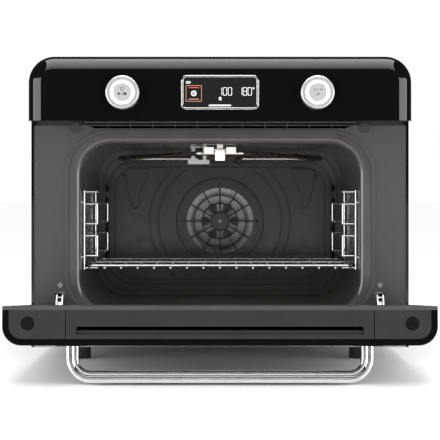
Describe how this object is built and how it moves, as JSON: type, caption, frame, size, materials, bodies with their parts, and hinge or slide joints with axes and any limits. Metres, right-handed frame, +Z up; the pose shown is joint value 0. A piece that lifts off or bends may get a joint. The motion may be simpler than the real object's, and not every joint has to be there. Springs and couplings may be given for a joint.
{
  "type": "countertop oven",
  "caption": "Countertop convection oven with a drop-down door standing open, control dials, wire rack and side ladders.",
  "frame": {"origin": "on the floor under the middle of the oven's outline with the door open", "axes": "+X to the right seen from the front, +Y from the door to the back, +Z up"},
  "size_m": [0.498, 0.6707, 0.401],
  "materials": {
    "gloss_black": "high gloss enamel",
    "grey_enamel": "satin enamel",
    "cavity_enamel": "semi-gloss enamel",
    "chrome": "polished",
    "brushed": "turned and brushed",
    "galvanised": "galvanised",
    "heater": "satin, heat-tinted",
    "screw_steel": "plated",
    "light_ring": "frosted, lit",
    "black_plastic": "matt",
    "grey_plastic": "fine matt",
    "board_green": "solder mask",
    "rubber": "matt",
    "gasket": "silicone",
    "ceramic": "ceramic, satin",
    "wool": "mineral wool",
    "screen_glass": "gloss black screen",
    "dark_glass": "tinted",
    "clear_glass": "clear"
  },
  "bodies": {
    "oven": {"outer_wrap": "gloss_black", "fascia": "gloss_black", "display_bezel": "chrome", "display_glass": "screen_glass", "display_board": "board_green", "dial_bases": "black_plastic", "light_rings": "light_ring", "encoders": "black_plastic", "control_board": "board_green", "front_frame": "grey_enamel", "plinth": "galvanised", "air_outlet_grille": "grey_enamel", "door_gasket": "gasket", "frame_bumpers": "rubber", "cavity_liner": "cavity_enamel", "rear_baffle": "cavity_enamel", "fan_guard": "cavity_enamel", "baffle_screws": "screw_steel", "ring_heater": "heater", "fan_motor": "galvanised", "grill_element": "heater", "grill_bracket": "brushed", "element_insulators": "ceramic", "floor_heater": "heater", "cavity_probe": "cavity_enamel", "left_ladder": "chrome", "right_ladder": "chrome", "ladder_screws": "screw_steel", "insulation": "wool", "cooling_duct": "galvanised", "cooling_motor": "galvanised", "base_pan": "galvanised", "rear_panel": "grey_enamel", "rear_screws": "screw_steel", "cable_gland": "black_plastic", "feet": "rubber", "left_hinge_arm": "galvanised", "right_hinge_arm": "galvanised", "hinge_receivers": "galvanised"},
    "door": {"door_shell": "gloss_black", "door_inner_frame": "grey_enamel", "outer_glass": "dark_glass", "middle_glass": "clear_glass", "inner_glass": "clear_glass", "glass_spacers": "brushed", "door_end_cap": "grey_plastic", "end_cap_plugs": "black_plastic", "left_hinge_case": "galvanised", "right_hinge_case": "galvanised", "hinge_pins": "screw_steel", "handle": "chrome", "handle_bases": "black_plastic", "handle_screws": "screw_steel"},
    "rack": {"wire_rack": "chrome"},
    "left_dial": {"left_dial": "brushed"},
    "right_dial": {"right_dial": "brushed"},
    "left_button": {"left_button": "brushed"},
    "right_button": {"right_button": "brushed"},
    "fan": {"fan_impeller": "galvanised"},
    "cooling_fan": {"cooling_rotor": "galvanised"}
  },
  "joints": [
    {"name": "door_hinge", "type": "hinge", "parent": "oven", "child": "door", "pos_m": [0, -0.0837, 0.065], "axis": [-1, 0, 0], "range_deg": [0, 86]},
    {"name": "rack_slide", "type": "slide", "parent": "oven", "child": "rack", "axis": [0, 1, 0], "range_m": [-0.18, 0]},
    {"name": "left_dial_turn", "type": "hinge", "parent": "oven", "child": "left_dial", "pos_m": [-0.125, -0.1247, 0.3525], "axis": [0, 1, 0], "continuous": true},
    {"name": "right_dial_turn", "type": "hinge", "parent": "oven", "child": "right_dial", "pos_m": [0.125, -0.1247, 0.3525], "axis": [0, 1, 0], "continuous": true},
    {"name": "left_button_press", "type": "slide", "parent": "oven", "child": "left_button", "axis": [0, 1, 0], "range_m": [0, 0.002], "stiffness_N_per_m": 600},
    {"name": "right_button_press", "type": "slide", "parent": "oven", "child": "right_button", "axis": [0, 1, 0], "range_m": [0, 0.002], "stiffness_N_per_m": 600},
    {"name": "fan_spin", "type": "hinge", "parent": "oven", "child": "fan", "pos_m": [0, 0.2683, 0.18], "axis": [0, 1, 0], "continuous": true},
    {"name": "cooling_fan_spin", "type": "hinge", "parent": "oven", "child": "cooling_fan", "pos_m": [0, 0.1683, 0.33], "axis": [0, 0, 1], "continuous": true}
  ]
}
